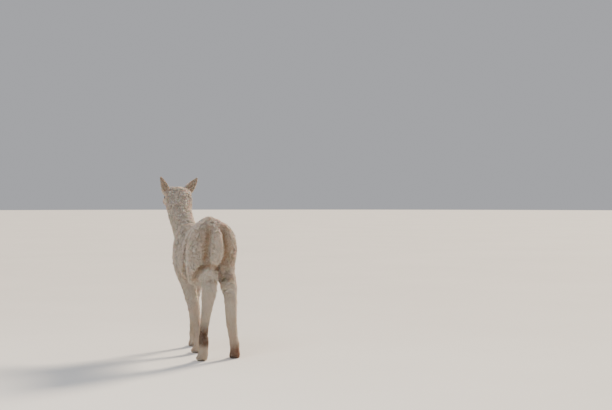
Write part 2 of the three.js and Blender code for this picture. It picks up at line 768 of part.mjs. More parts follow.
function addHindLeg(leg) {
  const hand = HANDS[leg.side];
  const name = `hind_${leg.side}`;
  const whole = withLeg(leg);
  const stifle = plane(leg.stations[STIFLE_STATION], 0, 0.6, -0.8);
  const hock = legCut(leg, HOCK_HEIGHT[leg.side]);
  const fetlock = legCut(leg, FETLOCK_HEIGHT + FOOT_PLACE[name].raise);
  const thighBox = boxAround([[200, 0, 390], [-180, 220 * hand, 710]]);
  const thigh = within(solid(skinOf(whole, thighBox, CELL.thigh)), [...hipCuts(hand), flipped(stifle)]);
  addPiece(`thigh_${leg.side}`, thigh, FLEECE);
  const shankBox = boxAround([[130, -60 * hand, 340], [-220, 200 * hand, 600]]);
  const shankCuts = [FLANK_CUT, groinCut(hand), stifle, flipped(hock)];
  const shank = within(solid(skinOf(whole, shankBox, CELL.shank)), shankCuts);
  addPiece(`shank_${leg.side}`, shank, FLEECE);
  const cannonBox = boxAround([hock.at, fetlock.at], CANNON_MARGIN);
  const cannon = within(solid(skinOf(legField(leg), cannonBox, CELL.cannon)), [hock, flipped(fetlock)]);
  addPiece(`cannon_${name}`, cannon, STAINED_FLEECE);
  addFoot(name, leg, fetlock);
}

function addForeLeg(leg) {
  const name = `fore_${leg.side}`;
  const elbow = ELBOW_CUTS[SIDES.indexOf(leg.side)];
  const knee = legCut(leg, KNEE_HEIGHT[leg.side]);
  const fetlock = legCut(leg, FETLOCK_HEIGHT + FOOT_PLACE[name].raise);
  const forearmBox = boxAround([leg.stations[0], knee.at], FOREARM_MARGIN);
  const forearm = within(solid(skinOf(withLeg(leg), forearmBox, CELL.shank)), [elbow, flipped(knee)]);
  addPiece(`forearm_${leg.side}`, forearm, FLEECE);
  const cannonBox = boxAround([knee.at, fetlock.at], CANNON_MARGIN);
  const cannon = within(solid(skinOf(legField(leg), cannonBox, CELL.cannon)), [knee, flipped(fetlock)]);
  addPiece(`cannon_${name}`, cannon, FLEECE);
  addFoot(name, leg, fetlock);
}

addTrunk();
addNeck();
addTail();
addHead();
for (const leg of Object.values(legs)) (leg.end === 'hind' ? addHindLeg : addForeLeg)(leg);

// The origin is on the floor, under the middle of the animal's box.
alpaca.scale.setScalar(SCALE);
const bounds = new THREE.Box3().setFromObject(alpaca);
const centre = bounds.getCenter(new THREE.Vector3());
alpaca.position.set(-centre.x, -centre.y, 0);

export default alpaca;
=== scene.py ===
"""A walking huacaya alpaca, life-size: skin, short fleece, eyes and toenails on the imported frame.

Blender's objects are in metres in the frame's axes: the animal faces -Y and its left side is +X.
One skin replaces all the flesh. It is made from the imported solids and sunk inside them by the
depth of the coat, and then the face is shaped on it. Tufts grow from it out to the outline of the
solids. Numbers that shape the folds and the face are in mm, from the hips or in the head's axes.
"""

import math
from typing import NamedTuple

import bmesh
import bpy
import numpy as np
from mathutils import Matrix, Vector, noise
from mathutils.bvhtree import BVHTree
from mathutils.kdtree import KDTree


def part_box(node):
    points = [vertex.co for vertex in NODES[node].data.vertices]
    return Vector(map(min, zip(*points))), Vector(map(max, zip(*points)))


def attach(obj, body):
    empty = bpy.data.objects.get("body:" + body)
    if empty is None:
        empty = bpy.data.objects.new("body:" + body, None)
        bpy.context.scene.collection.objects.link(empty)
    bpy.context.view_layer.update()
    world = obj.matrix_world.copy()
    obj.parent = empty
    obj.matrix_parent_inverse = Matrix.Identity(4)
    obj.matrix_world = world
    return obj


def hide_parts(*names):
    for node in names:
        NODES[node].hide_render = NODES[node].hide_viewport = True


MM = 0.001
SEED = 2757
SIDES = {"left": 1, "right": -1}
WELD = 0.01 * MM

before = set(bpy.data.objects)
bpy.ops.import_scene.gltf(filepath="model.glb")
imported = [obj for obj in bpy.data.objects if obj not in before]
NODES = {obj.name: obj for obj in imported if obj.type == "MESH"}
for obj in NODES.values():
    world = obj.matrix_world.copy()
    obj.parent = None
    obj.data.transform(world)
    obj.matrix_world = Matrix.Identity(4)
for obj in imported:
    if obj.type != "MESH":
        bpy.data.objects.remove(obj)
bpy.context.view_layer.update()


def middle(node):
    low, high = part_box(node)
    return (low + high) / 2


# ---- The head's own axes: x to its left, y back, z up, from the middle of the skull

HEAD_TURN = math.radians(16)
HEAD_NOD = math.radians(-3)
EYE_AHEAD = 76 * MM
EYE_SIDE = 48 * MM
EYE_HEIGHT = -4 * MM
HIPS_FROM_HEAD = Vector((-0.012, 0.924, -1.003))  # to the floor under the hips

HEAD_AXES = Matrix.Rotation(HEAD_TURN, 3, "Z") @ Matrix.Rotation(HEAD_NOD, 3, "X")
between_eyes = (middle("eye_left") + middle("eye_right")) / 2
HEAD_AT = between_eyes - HEAD_AXES @ Vector((0, -EYE_AHEAD, EYE_HEIGHT))
HIPS_AT = HEAD_AT + HIPS_FROM_HEAD

head_axes = np.array(HEAD_AXES)
head_at = np.array(HEAD_AT)


def to_head(points):
    return (points - head_at) @ head_axes


def from_head(points):
    return points @ head_axes.T + head_at


# ---- Small helpers


def smoothstep(low, high, x):
    t = np.clip((x - low) / (high - low), 0, 1)
    return t * t * (3 - 2 * t)


def bell(x, width):
    return np.exp(-((x / width) ** 2))


def ridge(x, height, at, width):
    return height * bell(x - at, width)


def unit(vectors):
    length = np.linalg.norm(vectors, axis=-1, keepdims=True)
    return vectors / np.maximum(length, 1e-9)


def line_distance(points, line):
    """How far points on a flat plane are from a bent line."""
    best = np.full(len(points), np.inf)
    for a, b in zip(np.array(line[:-1], float), np.array(line[1:], float)):
        span = b - a
        t = np.clip((points - a) @ span / (span @ span), 0, 1)
        best = np.minimum(best, np.linalg.norm(points - a - t[:, None] * span, axis=1))
    return best


def from_hips(points):
    """Ahead of the hips, to their left, and height above the floor, in mm."""
    local = (points - np.array([HIPS_AT.x, HIPS_AT.y, 0])) / MM
    return np.stack([-local[:, 1], local[:, 0], local[:, 2]], 1)


def coords(mesh):
    flat = np.zeros(len(mesh.vertices) * 3, np.float32)
    mesh.vertices.foreach_get("co", flat)
    return flat.reshape(-1, 3).astype(float)


def normals(mesh):
    flat = np.zeros(len(mesh.vertices) * 3, np.float32)
    mesh.vertex_normals.foreach_get("vector", flat)
    return flat.reshape(-1, 3).astype(float)


def set_coords(mesh, points):
    mesh.vertices.foreach_set("co", points.astype(np.float32).ravel())
    mesh.update()


def edge_pairs(mesh):
    flat = np.zeros(len(mesh.edges) * 2, np.int32)
    mesh.edges.foreach_get("vertices", flat)
    return flat.reshape(-1, 2)


def triangles(mesh):
    mesh.calc_loop_triangles()
    flat = np.zeros(len(mesh.loop_triangles) * 3, np.int32)
    mesh.loop_triangles.foreach_get("vertices", flat)
    return flat.reshape(-1, 3)


def relaxed(values, pairs, rounds, share=0.5):
    """Values at the vertices, each moved toward the mean of its neighbours, again and again."""
    values = values.reshape(len(values), -1).astype(float)
    a, b = pairs.T
    count = len(values)
    degree = np.bincount(a, minlength=count) + np.bincount(b, minlength=count)
    degree = np.maximum(degree, 1)
    share = np.broadcast_to(np.asarray(share, float).reshape(-1, 1), (count, 1))
    for _ in range(rounds):
        mean = np.empty_like(values)
        for k in range(values.shape[1]):
            total = np.bincount(a, values[b, k], count) + np.bincount(b, values[a, k], count)
            mean[:, k] = total / degree
        values = values + (mean - values) * share
    return values.squeeze()


def add_attribute(mesh, name, values):
    layer = mesh.attributes.new(name, "FLOAT", "POINT")
    layer.data.foreach_set("value", np.asarray(values, np.float32))


def new_object(name, data):
    obj = bpy.data.objects.new(name, data)
    bpy.context.scene.collection.objects.link(obj)
    return obj


def baked(obj):
    """The object with its modifiers applied."""
    graph = bpy.context.evaluated_depsgraph_get()
    mesh = bpy.data.meshes.new_from_object(obj.evaluated_get(graph))
    obj.modifiers.clear()
    obj.data = mesh
    return obj


def remeshed(obj, voxel):
    modifier = obj.modifiers.new("remesh", "REMESH")
    modifier.mode = "VOXEL"
    modifier.voxel_size = voxel
    return baked(obj)


def subdivided(obj, levels):
    modifier = obj.modifiers.new("subdivide", "SUBSURF")
    modifier.levels = levels
    modifier.render_levels = levels
    return baked(obj)


def shade_smooth(mesh):
    mesh.polygons.foreach_set("use_smooth", np.ones(len(mesh.polygons), bool))


def closed_copy(nodes, grow=0.0):
    """The nodes' meshes in one, each closed by welding, and swollen a little."""
    bm = bmesh.new()
    for node in nodes:
        bm.from_mesh(NODES[node].data)
    bmesh.ops.remove_doubles(bm, verts=bm.verts, dist=WELD)
    bm.normal_update()
    for v in bm.verts:
        v.co += v.normal * grow
    mesh = bpy.data.meshes.new("closed")
    bm.to_mesh(mesh)
    bm.free()
    return mesh


# ---- Which part of the animal a point belongs to

APART = ("eye", "toenail")
FLESH = sorted(n for n in NODES if not n.startswith(APART))
EARS = [n for n in FLESH if n.startswith("ear")]
BODY = [n for n in FLESH if n not in EARS]

# For each part: the depth of its coat in mm, how much its outline is smoothed from 0 to 1, which
# way its hair lies, how far its tufts stand off the skin in degrees, their width in mm, and their
# density.
DEPTH, SOFTNESS, LIE, LIFT, WIDTH, DENSITY = range(6)
PARTS = {
    "trunk": (16, 0.8, (0, 0.8, -0.6), 42, 2.5, 1.0),
    "neck": (14, 0.8, (0, 0.45, -0.9), 40, 2.3, 1.05),
    "tail": (15, 0.3, (0, 0.15, -1), 37, 2.4, 1.2),
    "thigh": (15, 0.5, (0, 0.3, -0.95), 40, 2.5, 1.0),
    "shank": (12, 0.25, (0, 0.2, -1), 37, 2.3, 1.1),
    "forearm": (10, 0.4, (0, 0.1, -1), 35, 2.1, 1.1),
    "cannon": (7, 0.3, (0, 0.1, -1), 28, 1.8, 1.3),
    "foot": (3.5, 0.2, (0, -0.35, -0.9), 20, 1.5, 1.6),
    "head": (12, 0.4, (0, 1, 0.1), 30, 1.9, 1.35),
    "lower": (2.4, 0.3, (0, 1, 0.1), 26, 1.9, 1.4),
    "ear": (1.5, 0, (0, 0.2, 1), 15, 1.3, 2.8),
}
HEAD_NODES = ("head", "lower_jaw")


def cad_surface():
    """The solids' points, their triangles, and the index in FLESH of each triangle's solid."""
    points, faces, owners = [], [], []
    for index, name in enumerate(FLESH):
        start = sum(len(p) for p in points)
        points.append(coords(NODES[name].data))
        faces.append(triangles(NODES[name].data) + start)
        owners.append(np.full(len(faces[-1]), index))
    return np.concatenate(points), np.concatenate(faces), np.concatenate(owners)


cad_points, cad_faces, cad_nodes = cad_surface()
cad_tree = BVHTree.FromPolygons(cad_points.tolist(), cad_faces.tolist())


def nearest_node(points):
    """For each point, the index in FLESH of the nearest solid."""
    return cad_nodes[[cad_tree.find_nearest(p)[2] for p in points.tolist()]]


def distance_to(tree, points):
    return np.array([tree.find_nearest(p)[3] for p in points.tolist()])


def part_values(node_index, column):
    """One column of PARTS for each point."""
    table = np.array([PARTS[n.split("_")[0]][column] for n in FLESH], float)
    return table[node_index]


def in_nodes(node_index, nodes):
    return np.isin(node_index, [FLESH.index(n) for n in nodes])


# ---- Skin

FIRST_VOXEL = 6 * MM
LAST_VOXEL = 5.4 * MM
CLOSE_CUTS = 0.6 * MM
SOFTNESS_ROUNDS = 20
OUTLINE_ROUNDS = 40
OUTLINE_SHARE = 0.6
DEPTH_ROUNDS = 25
SINK_STEPS = 3
SINK_SHARE = 0.3
SKIN_ROUNDS = 4
SKIN_SHARE = 0.4

TOPKNOT_DEPTH = 15
FACE_DEPTH = 2.2
FACE_AHEAD = (20, 72)  # the hair turns short over this stretch of the head
FACE_TOP = (14, 34)  # and between these heights, up to the topknot
MUZZLE_AHEAD = (84, 104)  # ahead of this it is short all round


class Fold(NamedTuple):
    """A groove between the masses of the body, in mm.

    Its line is seen from the side, as (ahead of the hips, height), or from behind, as (to their
    left, height). The wool of a hock ends in a dome, whose fold runs round the line at a radius.
    """

    line: tuple
    depth: float
    wide: float  # half its width
    shade_and_warmth: float  # how much painted warm shade its wool gets
    spread: float  # over how many half widths
    radius: float = 0


FLANK_FOLD = Fold(((240, 770), (198, 700), (186, 625), (212, 550), (250, 500)), 22, 19, 0.6, 1.3)
TAIL_FOLDS = (
    Fold(((46, 800), (62, 745), (68, 680), (64, 628)), 20, 17, 1, 1.7),
    Fold(((-42, 800), (-52, 745), (-57, 680), (-52, 615), (-20, 594)), 18, 19, 1, 1.7),
)
HOCK_CREASE = Fold(((52, 500), (34, 493), (12, 499)), 6, 5, 0.7, 2)
HOCK_DOMES = (
    Fold(((41, 527), (50, 430)), 28, 14, 1, 1.3, radius=66),
    Fold(((-92, 444), (-100, 380)), 5, 12, 0.3, 1.3, radius=60),
)
DEEPEST_FOLD = 23
SWELLING = 0.28  # beside a fold, against its depth
SWELLING_AT = 2.1  # and how far from its line, in half widths

# Where a fold fades in, from none to all of it: by its place in mm, and by the way its skin faces.
FLANK_SIDE = (40, 80)
FLANK_FACING = (0.15, 0.5)
TAIL_AHEAD = (-50, -90)
CREASE_AHEAD = (-60, -90)
REAR_FACING = (0.0, 0.4)
HOCK_AHEAD = (10, -40)
HOCK_OVER = (-30, 10)
HOCK_FACING = (-0.1, 0.3)
# Painted warm shade also lies round the hocks, beyond their folds, and in two places between the
# thighs.
HOCK_SHADE_AHEAD = (40, -20)
HOCK_SHADE_OVER = (-70, -20)
SHADED_PLACES = (((-76, 640), (34, 85)), ((-28, 512), (24, 52)))  # (to the left, height), half sizes
PLACE_SHADE = 0.85
PLACE_AHEAD = (20, -40)


def face_share(points, node_index):
    """1 where the hair is short and flat: the muzzle and round the eyes."""
    h = to_head(points) / MM
    ahead, height = -h[:, 1], h[:, 2]
    face = smoothstep(*FACE_AHEAD, ahead) * (1 - smoothstep(*FACE_TOP, height))
    return np.maximum(face, smoothstep(*MUZZLE_AHEAD, ahead)) * in_nodes(node_index, HEAD_NODES)


def coat_depth(points, node_index):
    """How far the skin lies inside the solids, in metres."""
    face = face_share(points, node_index)
    on_head = in_nodes(node_index, HEAD_NODES)
    depth = np.where(on_head, TOPKNOT_DEPTH, part_values(node_index, DEPTH))
    return (depth * (1 - face) + FACE_DEPTH * face) * MM


def fold_depth(distance, fold):
    """A groove with a low swelling along each side, in mm."""
    swelling = ridge(distance, SWELLING, SWELLING_AT * fold.wide, fold.wide)
    return fold.depth * (swelling - bell(distance, fold.wide))


def hock_rim(at, hock):
    """How far points are, seen from behind, from the rim of a hock's dome of wool."""
    return np.abs(line_distance(at[:, 1:], hock.line) - hock.radius)


def over_hock(at, hock, low, high):
    """0 below and 1 above two heights, measured from the upper end of the dome's line."""
    return smoothstep(low, high, at[:, 2] - hock.line[0][1])


def fold_body(points, facing):
    """The outline with its folds pressed in."""
    at = from_hips(points)
    ahead, side = at[:, 0], at[:, 1]
    to_side, to_rear = np.abs(facing[:, 0]), facing[:, 1]
    push = fold_depth(line_distance(at[:, [0, 2]], FLANK_FOLD.line), FLANK_FOLD)
    push = push * smoothstep(*FLANK_SIDE, np.abs(side)) * smoothstep(*FLANK_FACING, to_side)
    for fold in TAIL_FOLDS:
        beside = fold_depth(line_distance(at[:, 1:], fold.line), fold)
        push = push + beside * smoothstep(*TAIL_AHEAD, ahead) * smoothstep(*REAR_FACING, to_rear)
    for hock in HOCK_DOMES:
        rim = fold_depth(hock_rim(at, hock), hock) * over_hock(at, hock, *HOCK_OVER)
        push = push + rim * smoothstep(*HOCK_AHEAD, ahead) * smoothstep(*HOCK_FACING, to_rear)
    crease = fold_depth(line_distance(at[:, 1:], HOCK_CREASE.line), HOCK_CREASE)
    push = push + crease * smoothstep(*CREASE_AHEAD, ahead) * smoothstep(*REAR_FACING, to_rear)
    return points + facing * (np.maximum(push, -DEEPEST_FOLD) * MM)[:, None]


def make_outline():
    """The solids as one smooth closed surface, at the tips of the coat."""
    obj = new_object("skin", closed_copy(BODY, CLOSE_CUTS))
    remeshed(obj, FIRST_VOXEL)
    points, pairs = coords(obj.data), edge_pairs(obj.data)
    node_index = nearest_node(points)
    softness = relaxed(part_values(node_index, SOFTNESS), pairs, SOFTNESS_ROUNDS)
    share = OUTLINE_SHARE * softness
    smooth = relaxed(points, pairs, OUTLINE_ROUNDS, share)
    set_coords(obj.data, smooth)
    facing = normals(obj.data)
    shrunk = relaxed(((points - smooth) * facing).sum(1), pairs, OUTLINE_ROUNDS, share)
    set_coords(obj.data, smooth + facing * shrunk[:, None])
    set_coords(obj.data, fold_body(coords(obj.data), normals(obj.data)))
    return obj, node_index


def make_skin():
    """The skin, and a tree of the outline that its coat grows out to."""
    obj, node_index = make_outline()
    points, pairs = coords(obj.data), edge_pairs(obj.data)
    outline = BVHTree.FromPolygons(points.tolist(), triangles(obj.data).tolist())
    depth = relaxed(coat_depth(points, node_index), pairs, DEPTH_ROUNDS)
    for _ in range(SINK_STEPS):
        points = points - normals(obj.data) * (depth / SINK_STEPS)[:, None]
        points = relaxed(points, pairs, 1, SINK_SHARE)
        set_coords(obj.data, points)
    remeshed(obj, LAST_VOXEL)
    points, pairs = coords(obj.data), edge_pairs(obj.data)
    set_coords(obj.data, relaxed(points, pairs, SKIN_ROUNDS, SKIN_SHARE))
    return obj, outline


# ---- Face: shaped on the skin in the head's axes, in mm

GAZE = (0.9, 0.42, 0.06)  # sideways, ahead, up
EYE_AXIS = np.array([0, -1.0, -0.12])  # the way its corners lie
EYE_RADIUS = 17.2
EYE_LONG = 14.6  # half the length of the opening between the lids
EYE_TALL = {"up": 10.6, "down": 8.2}
EYE_LEAN = 0.1
EYE_REACH = 34  # of the skin that is shaped round an eye
EYE_RISE = (-14, 30)  # and how far in and out it may lie
EYE_BLEND = (15, 31)  # the shape fades out between these distances
LID_THICK = 2.0
LID_REACH = 15.5  # beyond this the lid no longer falls away
LID_EDGE = (0.84, 1.0)  # of the opening, where the skin drops behind the eyeball
BEHIND_BALL = 4.5

# Ridges as (height, place, half width). The lids' places are in sizes of the opening.
LID_RIM = (1.3, 1.08, 0.1)
LID_FOLD = (1.1, 1.5, 0.13)
BROW = (1.6, 1.85, 0.25)
BROW_FROM = (-2, 8)
MOUTH_CUT = (4.2, 0, 1.7)
UPPER_LIP = (1.5, 6.5, 4.2)
LOWER_LIP = (1.1, -6, 3.8)
LIP_SPLIT = (3.4, 0, 1.3)
LIP_HALVES = (1.5, 8, 5)
LIP_DIP = (2.5, 150, 18)

LIP_HEIGHT = -44
LIP_CORNER = 120
LIP_CLIMB = 5  # from the front of the mouth to its corner
SPLIT_TOP = (-24, -16)
NOSTRIL = ((8.5, -24.5), (15.5, -13.5))  # its two ends: side, height
NOSTRIL_BOW = 2.2
NOSTRIL_BOW_WAY = np.array([-0.84, 0.54])
NOSTRIL_DEPTH = 8.0
NOSTRIL_RIM = 1.4
NOSE_FROM = 165


def eye_axes(hand):
    """The way an eye looks, and its opening's length and height, as unit vectors."""
    out = unit(np.array([hand * GAZE[0], -GAZE[1], GAZE[2]]))
    ahead = unit(EYE_AXIS - out * (out @ EYE_AXIS))
    up = np.cross(out, ahead)
    return out, ahead, up * (1 if up[2] > 0 else -1)


def eye_middle(hand):
    return np.array([hand * EYE_SIDE, -EYE_AHEAD, EYE_HEIGHT]) / MM


def opening(f, u):
    """1 at the edge of the opening between the lids, less inside it."""
    tall = np.where(u > 0, EYE_TALL["up"], EYE_TALL["down"])
    return np.hypot(f / EYE_LONG, (u - EYE_LEAN * f) / tall)


def shape_eyes(h, facing):
    """Lays the skin over each eyeball as lids, and drops it behind the ball between them."""
    for hand in SIDES.values():
        out, ahead, up = eye_axes(hand)
        from_eye = h - eye_middle(hand)
        f, u, rise = from_eye @ ahead, from_eye @ up, from_eye @ out
        reach = np.hypot(f, u)
        near = (reach < EYE_REACH) & (rise > EYE_RISE[0]) & (rise < EYE_RISE[1])
        near = near & (facing @ out > 0.1)
        ball = np.sqrt(np.maximum(EYE_RADIUS**2 - reach**2, 0))
        lid = np.sqrt((EYE_RADIUS + LID_THICK) ** 2 - np.minimum(reach, LID_REACH) ** 2)
        q = opening(f, u)
        lid = lid + ridge(q, *LID_RIM) - ridge(q, *LID_FOLD) * (u > 0)
        lid = lid + ridge(q, *BROW) * smoothstep(*BROW_FROM, u)
        lid = lid + (ball - BEHIND_BALL - lid) * (1 - smoothstep(*LID_EDGE, q))
        blend = 1 - smoothstep(*EYE_BLEND, reach)
        move = np.where(near, (lid - rise) * blend, 0)
        h = h + move[:, None] * out
    return h


def shape_mouth(h, facing):
    """The line of the mouth between its lips, and the split in the upper one."""
    side, ahead, height = h[:, 0], -h[:, 1], h[:, 2]
    line = LIP_HEIGHT + LIP_CLIMB * smoothstep(185, 125, ahead) - ridge(ahead, *LIP_DIP)
    over = height - line
    push = -ridge(over, *MOUTH_CUT) + ridge(over, *UPPER_LIP) + ridge(over, *LOWER_LIP)
    along = smoothstep(LIP_CORNER - 6, LIP_CORNER + 8, ahead)
    behind = smoothstep(-4, 1, LIP_CORNER - 4 - ahead)
    front = smoothstep(0.1, 0.7, -facing[:, 1])
    split = ridge(side, *LIP_SPLIT) * front * smoothstep(LIP_HEIGHT, LIP_HEIGHT + 4, height)
    split = split * (1 - smoothstep(*SPLIT_TOP, height))
    halves = ridge(np.abs(side), *LIP_HALVES) * front * bell(height + 34, 8)
    return push * along * (1 - behind) + (halves - split) * smoothstep(150, 170, ahead)


def shape_nostrils(h):
    """A slit on each side of the nose, bowed and wider above, with a low rim."""
    side, ahead, height = np.abs(h[:, 0]), -h[:, 1], h[:, 2]
    start, end = np.array(NOSTRIL[0], float), np.array(NOSTRIL[1], float)
    span = end - start
    at = np.stack([side, height], 1) - start
    t = np.clip(at @ span / (span @ span), 0, 1)
    bow = NOSTRIL_BOW * np.sin(np.pi * t)
    away = at - t[:, None] * span - bow[:, None] * NOSTRIL_BOW_WAY
    far = np.hypot(away[:, 0], away[:, 1])
    wide = 1.5 + 1.6 * t
    push = ridge(far - wide, NOSTRIL_RIM, 2.2, 1.7)
    push = push - NOSTRIL_DEPTH * (1 - smoothstep(0.25, 1.25, far / wide))
    return push * smoothstep(NOSE_FROM, NOSE_FROM + 6, ahead)


def shape_face(points, facing):
    h = to_head(points) / MM
    turned = facing @ head_axes
    near = (-h[:, 1] > 20) & (h[:, 2] < 60)
    push = shape_mouth(h, turned) + shape_nostrils(h)
    h = h + np.where(near, push, 0)[:, None] * turned
    h = shape_eyes(h, turned)
    return from_head(h * MM)


def refine(mesh, wanted):
    """Splits the edges of the faces whose middle is wanted, a test of points in the head's mm."""
    bm = bmesh.new()
    bm.from_mesh(mesh)
    bm.faces.ensure_lookup_table()
    mids = np.array([f.calc_center_median() for f in bm.faces])
    keep = wanted(to_head(mids) / MM)
    edges = {e for i in np.nonzero(keep)[0] for e in bm.faces[i].edges}
    edges = sorted(edges, key=lambda e: e.index)
    bmesh.ops.subdivide_edges(bm, edges=edges, cuts=1, use_grid_fill=True)
    bmesh.ops.triangulate(bm, faces=[f for f in bm.faces if len(f.verts) > 4])
    bm.to_mesh(mesh)
    bm.free()


def on_face(h):
    return (-h[:, 1] > 40) & (h[:, 2] < 44) & (h[:, 2] > -90)


def near_features(h):
    side, ahead, height = np.abs(h[:, 0]), -h[:, 1], h[:, 2]
    eye = eye_middle(1)
    by_eye = np.hypot(ahead + eye[1], height - eye[2]) < 27
    by_lips = (ahead > 110) & (np.abs(height - LIP_HEIGHT - 2) < 12)
    by_nose = (ahead > 160) & (height > -52)
    return (by_eye & (side > 25)) | by_lips | by_nose


EAR_THIN = 1.0 * MM
ROUNDING = 2  # subdivisions of an ear or a toenail
REFINED_ROUNDS = 2
REFINED_SHARE = 0.3


def add_ears(skin):
    """The ears' solids, rounded and thinned, join the skin."""
    ears = new_object("ears", closed_copy(EARS))
    subdivided(ears, ROUNDING)
    set_coords(ears.data, coords(ears.data) - normals(ears.data) * EAR_THIN)
    bm = bmesh.new()
    bm.from_mesh(skin.data)
    bm.from_mesh(ears.data)
    bm.to_mesh(skin.data)
    bm.free()
    bpy.data.objects.remove(ears)


skin, outline_tree = make_skin()
refine(skin.data, on_face)
refined = relaxed(coords(skin.data), edge_pairs(skin.data), REFINED_ROUNDS, REFINED_SHARE)
set_coords(skin.data, refined)
refine(skin.data, near_features)
set_coords(skin.data, shape_face(coords(skin.data), normals(skin.data)))
add_ears(skin)
shade_smooth(skin.data)


# ---- What the skin and the coat both know: markings, the lie of the hair and the coat's depth

HIND = ("hind_left", "hind_right")
CANNON_STAIN = (0.085, 0.115, 0.18, 0.27)  # heights between which the left hind cannon is stained
FOOT_STAIN = (-0.02, -0.01, 0.055, 0.12)  # and the right hind foot
# the coat is warmer towards the floor: fully below the first height in metres, not at all above the
# second
LOW_WARMTH = 0.5
LOW_WARMTH_TOP = (0.05, 0.52)
SOLE_HEIGHT = 6 * MM
NOSE_AHEAD = (167, 186)
NOSE_HEIGHT = -28
NOSE_TALL = 24
NOSE_BARE = 0.86
LID_BARE = (1.12, 1.5)  # in sizes of the opening
LID_BARE_REACH = 30
EAR_BINS = 10
EAR_STRIDE = 7
EAR_COAT = 2.2 * MM
EAR_RIM = (0.72, 0.97)  # across the ear, from its middle line to its edge
EAR_ROOT = (0.16, 0.45)  # along it, from its root to its tip
LEAST_COAT = 0.6  # of the depth that a part's coat should have
LIE_ROUNDS = 30
MARK_ROUNDS = 6  # of smoothing, but only one for the sharp edges of the bare skin


def band(x, edges):
    return smoothstep(edges[0], edges[1], x) * (1 - smoothstep(edges[2], edges[3], x))


def ear_mark(points, here):
    """1 on the ear's tan middle, partly its own tint and partly painted shade, less at its pale rim
    and its woolly root.
    """
    base = points[here]
    centre = base.mean(0)
    along, across = np.linalg.svd(base[::EAR_STRIDE] - centre, full_matrices=False)[2][:2]
    along = along * np.sign(along[2])
    run, off = (base - centre) @ along, (base - centre) @ across
    share = (run - run.min()) / np.ptp(run)
    bins = np.minimum((share * EAR_BINS).astype(int), EAR_BINS - 1)
    slices = [off[bins == k] for k in range(EAR_BINS)]
    middle_line = np.array([(part.max() + part.min()) / 2 for part in slices])
    half = np.array([np.ptp(part) / 2 for part in slices])
    marks = (np.arange(EAR_BINS) + 0.5) / EAR_BINS
    off = np.abs(off - np.interp(share, marks, middle_line)) / np.interp(share, marks, half)
    inner = 1 - 0.85 * smoothstep(*EAR_RIM, off)
    out = np.zeros(len(points))
    out[here] = inner * (0.25 + 0.75 * smoothstep(*EAR_ROOT, share))
    return out


# painted shade: how far a fold's warm shade spreads beside its line
def shade_falloff(distance, fold):
    return bell(distance, fold.spread * fold.wide)


def in_folds(points):
    """How much painted warm shade, with a little dirt in the wool, lies on it: 1 in the folds
    beside the tail and over the left hock, or less.
    """
    at = from_hips(points)
    ahead, behind = at[:, 0], at[:, 1:]
    share = np.zeros(len(points))
    fades = [(fold, TAIL_AHEAD) for fold in TAIL_FOLDS] + [(HOCK_CREASE, CREASE_AHEAD)]
    for fold, fade in fades:
        near = fold.shade_and_warmth * shade_falloff(line_distance(behind, fold.line), fold)
        share = np.maximum(share, near * smoothstep(*fade, ahead))
    for hock in HOCK_DOMES:
        near = shade_falloff(hock_rim(at, hock), hock) * over_hock(at, hock, *HOCK_SHADE_OVER)
        share = np.maximum(share, hock.shade_and_warmth * near * smoothstep(*HOCK_SHADE_AHEAD, ahead))
    for middle_at, size in SHADED_PLACES:
        near = bell(np.linalg.norm((behind - middle_at) / size, axis=1), 1)
        share = np.maximum(share, PLACE_SHADE * near * smoothstep(*PLACE_AHEAD, ahead))
    flank = FLANK_FOLD.shade_and_warmth * shade_falloff(line_distance(at[:, [0, 2]], FLANK_FOLD.line), FLANK_FOLD)
    return np.maximum(share, flank * smoothstep(*FLANK_SIDE, np.abs(at[:, 1])))


def markings(points, node_index):
    """Stains, dark bare skin, the ears' tan, warmer wool low down and painted warm shade in the
    folds, on the coat and skin, as shares from 0 to 1.
    """
    height = points[:, 2]
    left, right = (in_nodes(node_index, [f"cannon_{s}", f"foot_{s}"]) for s in HIND)
    dark = band(height, CANNON_STAIN) * left
    red = band(height, FOOT_STAIN) * right
    low_warmth = LOW_WARMTH * (1 - smoothstep(*LOW_WARMTH_TOP, height))
    # painted warm shade in the folds, and the wool warmer towards the floor
    shade_and_warmth = np.maximum(low_warmth, 0.95 * in_folds(points))
    h = to_head(points) / MM
    ear = sum(ear_mark(points, in_nodes(node_index, [n])) for n in EARS)
    nose = smoothstep(*NOSE_AHEAD, -h[:, 1]) * bell(h[:, 2] - NOSE_HEIGHT, NOSE_TALL)
    bare = np.zeros(len(points))
    for hand in SIDES.values():
        out, ahead, up = eye_axes(hand)
        at = h - eye_middle(hand)
        rim = 1 - smoothstep(*LID_BARE, opening(at @ ahead, at @ up))
        near = (at @ out > 0) * (np.linalg.norm(at, axis=1) < LID_BARE_REACH)
        bare = np.maximum(bare, rim * near)
    bare = np.maximum(bare, NOSE_BARE * nose) * in_nodes(node_index, HEAD_NODES)
    sole = 1 - smoothstep(SOLE_HEIGHT / 2, SOLE_HEIGHT, height)
    return {"dark": dark, "red": red, "shade_and_warmth": shade_and_warmth, "ear": ear, "bare": np.maximum(bare, sole)}


def lie_of(points, node_index):
    """Which way the hair lies: by part on the body, up the crown, and out along the ears."""
    lie = unit(part_values(node_index, LIE))
    h = to_head(points) / MM
    head = in_nodes(node_index, HEAD_NODES)
    crown = smoothstep(10, 40, h[:, 2]) * (1 - smoothstep(40, 90, -h[:, 1]))
    on_head = unit(np.stack([0.12 * np.sign(h[:, 0]), 1 - 0.9 * crown, -0.35 - 0.2 * crown], 1))
    lie[head] = (on_head @ head_axes.T)[head]
    for name, hand in SIDES.items():
        along_ear = head_axes @ unit(np.array([0.5 * hand, 0.05, 0.85]))
        lie[in_nodes(node_index, [f"ear_{name}"])] = along_ear
    return lie


